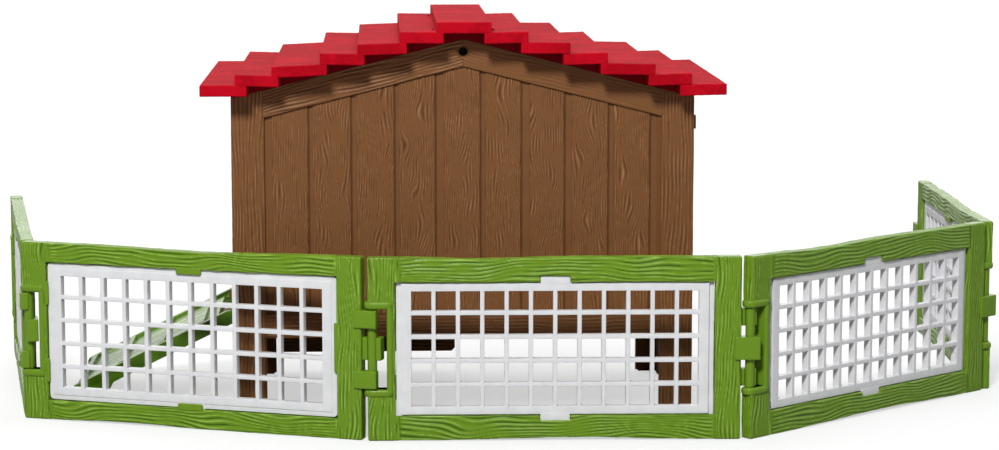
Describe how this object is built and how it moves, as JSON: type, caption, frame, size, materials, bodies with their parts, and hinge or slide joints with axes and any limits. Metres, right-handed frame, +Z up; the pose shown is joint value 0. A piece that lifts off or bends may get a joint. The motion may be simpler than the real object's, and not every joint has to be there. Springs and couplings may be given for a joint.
{
  "type": "toy rabbit hutch",
  "caption": "Toy rabbit hutch: plank house on legs with stepped lift-off roof, side ramp and hinged doors, inside a folding clip-together panel fence with grilles.",
  "frame": {"origin": "middle of the set's footprint (its bounding box) on the ground plane", "axes": "+X along the width of the house, towards the side with the hatch; +Y from the back wall with the centre fence panel towards the front wall with the flap; +Z up"},
  "size_m": [0.2988, 0.1718, 0.1116],
  "materials": {
    "house_brown": "matt moulded plastic with wood grain",
    "door_brown": "matt moulded plastic with wood grain",
    "roof_red": "matt moulded plastic with faint wood grain",
    "fence_green": "matt moulded plastic with bold wood grain",
    "grille_white": "smooth satin plastic"
  },
  "bodies": {
    "hutch": {"back_wall": "house_brown", "front_wall": "house_brown", "left_wall": "house_brown", "right_wall": "house_brown", "floor_panel": "house_brown", "fence_frame_3": "fence_green", "fence_grille_3": "grille_white"},
    "roof": {"roof": "roof_red"},
    "ramp": {"ramp": "fence_green"},
    "flap_door": {"flap_door": "door_brown"},
    "side_door": {"side_door": "door_brown"},
    "mesh_door": {"mesh_door_frame": "fence_green", "mesh_door_grille": "grille_white"},
    "fence_1": {"fence_frame_1": "fence_green", "fence_grille_1": "grille_white"},
    "fence_2": {"fence_frame_2": "fence_green", "fence_grille_2": "grille_white"},
    "fence_4": {"fence_frame_4": "fence_green", "fence_grille_4": "grille_white"},
    "fence_5": {"fence_frame_5": "fence_green", "fence_grille_5": "grille_white"}
  },
  "joints": [
    {"name": "roof_lift", "type": "slide", "parent": "hutch", "child": "roof", "axis": [0, 0, 1], "range_m": [0, 0.05]},
    {"name": "ramp_fold", "type": "hinge", "parent": "hutch", "child": "ramp", "pos_m": [-0.07564, -0.01496, 0.02623], "axis": [0, 1, 0], "range_deg": [0, 115]},
    {"name": "flap_close", "type": "hinge", "parent": "hutch", "child": "flap_door", "pos_m": [-0.03654, 0.01733, 0.0301], "axis": [1, 0, 0], "range_deg": [0, 180]},
    {"name": "side_door_open", "type": "hinge", "parent": "hutch", "child": "side_door", "pos_m": [0.05311, -0.04736, 0.06135], "axis": [0, 0, -1], "range_deg": [0, 80]},
    {"name": "mesh_door_open", "type": "hinge", "parent": "hutch", "child": "mesh_door", "pos_m": [0.04026, 0.01483, 0.056], "axis": [0, 0, -1], "range_deg": [0, 95]},
    {"name": "fence_hinge_2_3", "type": "hinge", "parent": "hutch", "child": "fence_2", "pos_m": [-0.03494, -0.08127, 0.025], "axis": [0, 0, 1], "range_deg": [-4, 108]},
    {"name": "fence_hinge_1_2", "type": "hinge", "parent": "fence_2", "child": "fence_1", "pos_m": [-0.13085, -0.04712, 0.025], "axis": [0, 0, -1], "range_deg": [-151, 12]},
    {"name": "fence_hinge_3_4", "type": "hinge", "parent": "hutch", "child": "fence_4", "pos_m": [0.06683, -0.0834, 0.025], "axis": [0, 0, -1], "range_deg": [-49, 130]},
    {"name": "fence_hinge_4_5", "type": "hinge", "parent": "fence_4", "child": "fence_5", "pos_m": [0.14527, -0.01851, 0.025], "axis": [0, 0, 1], "range_deg": [-139, 40]}
  ]
}
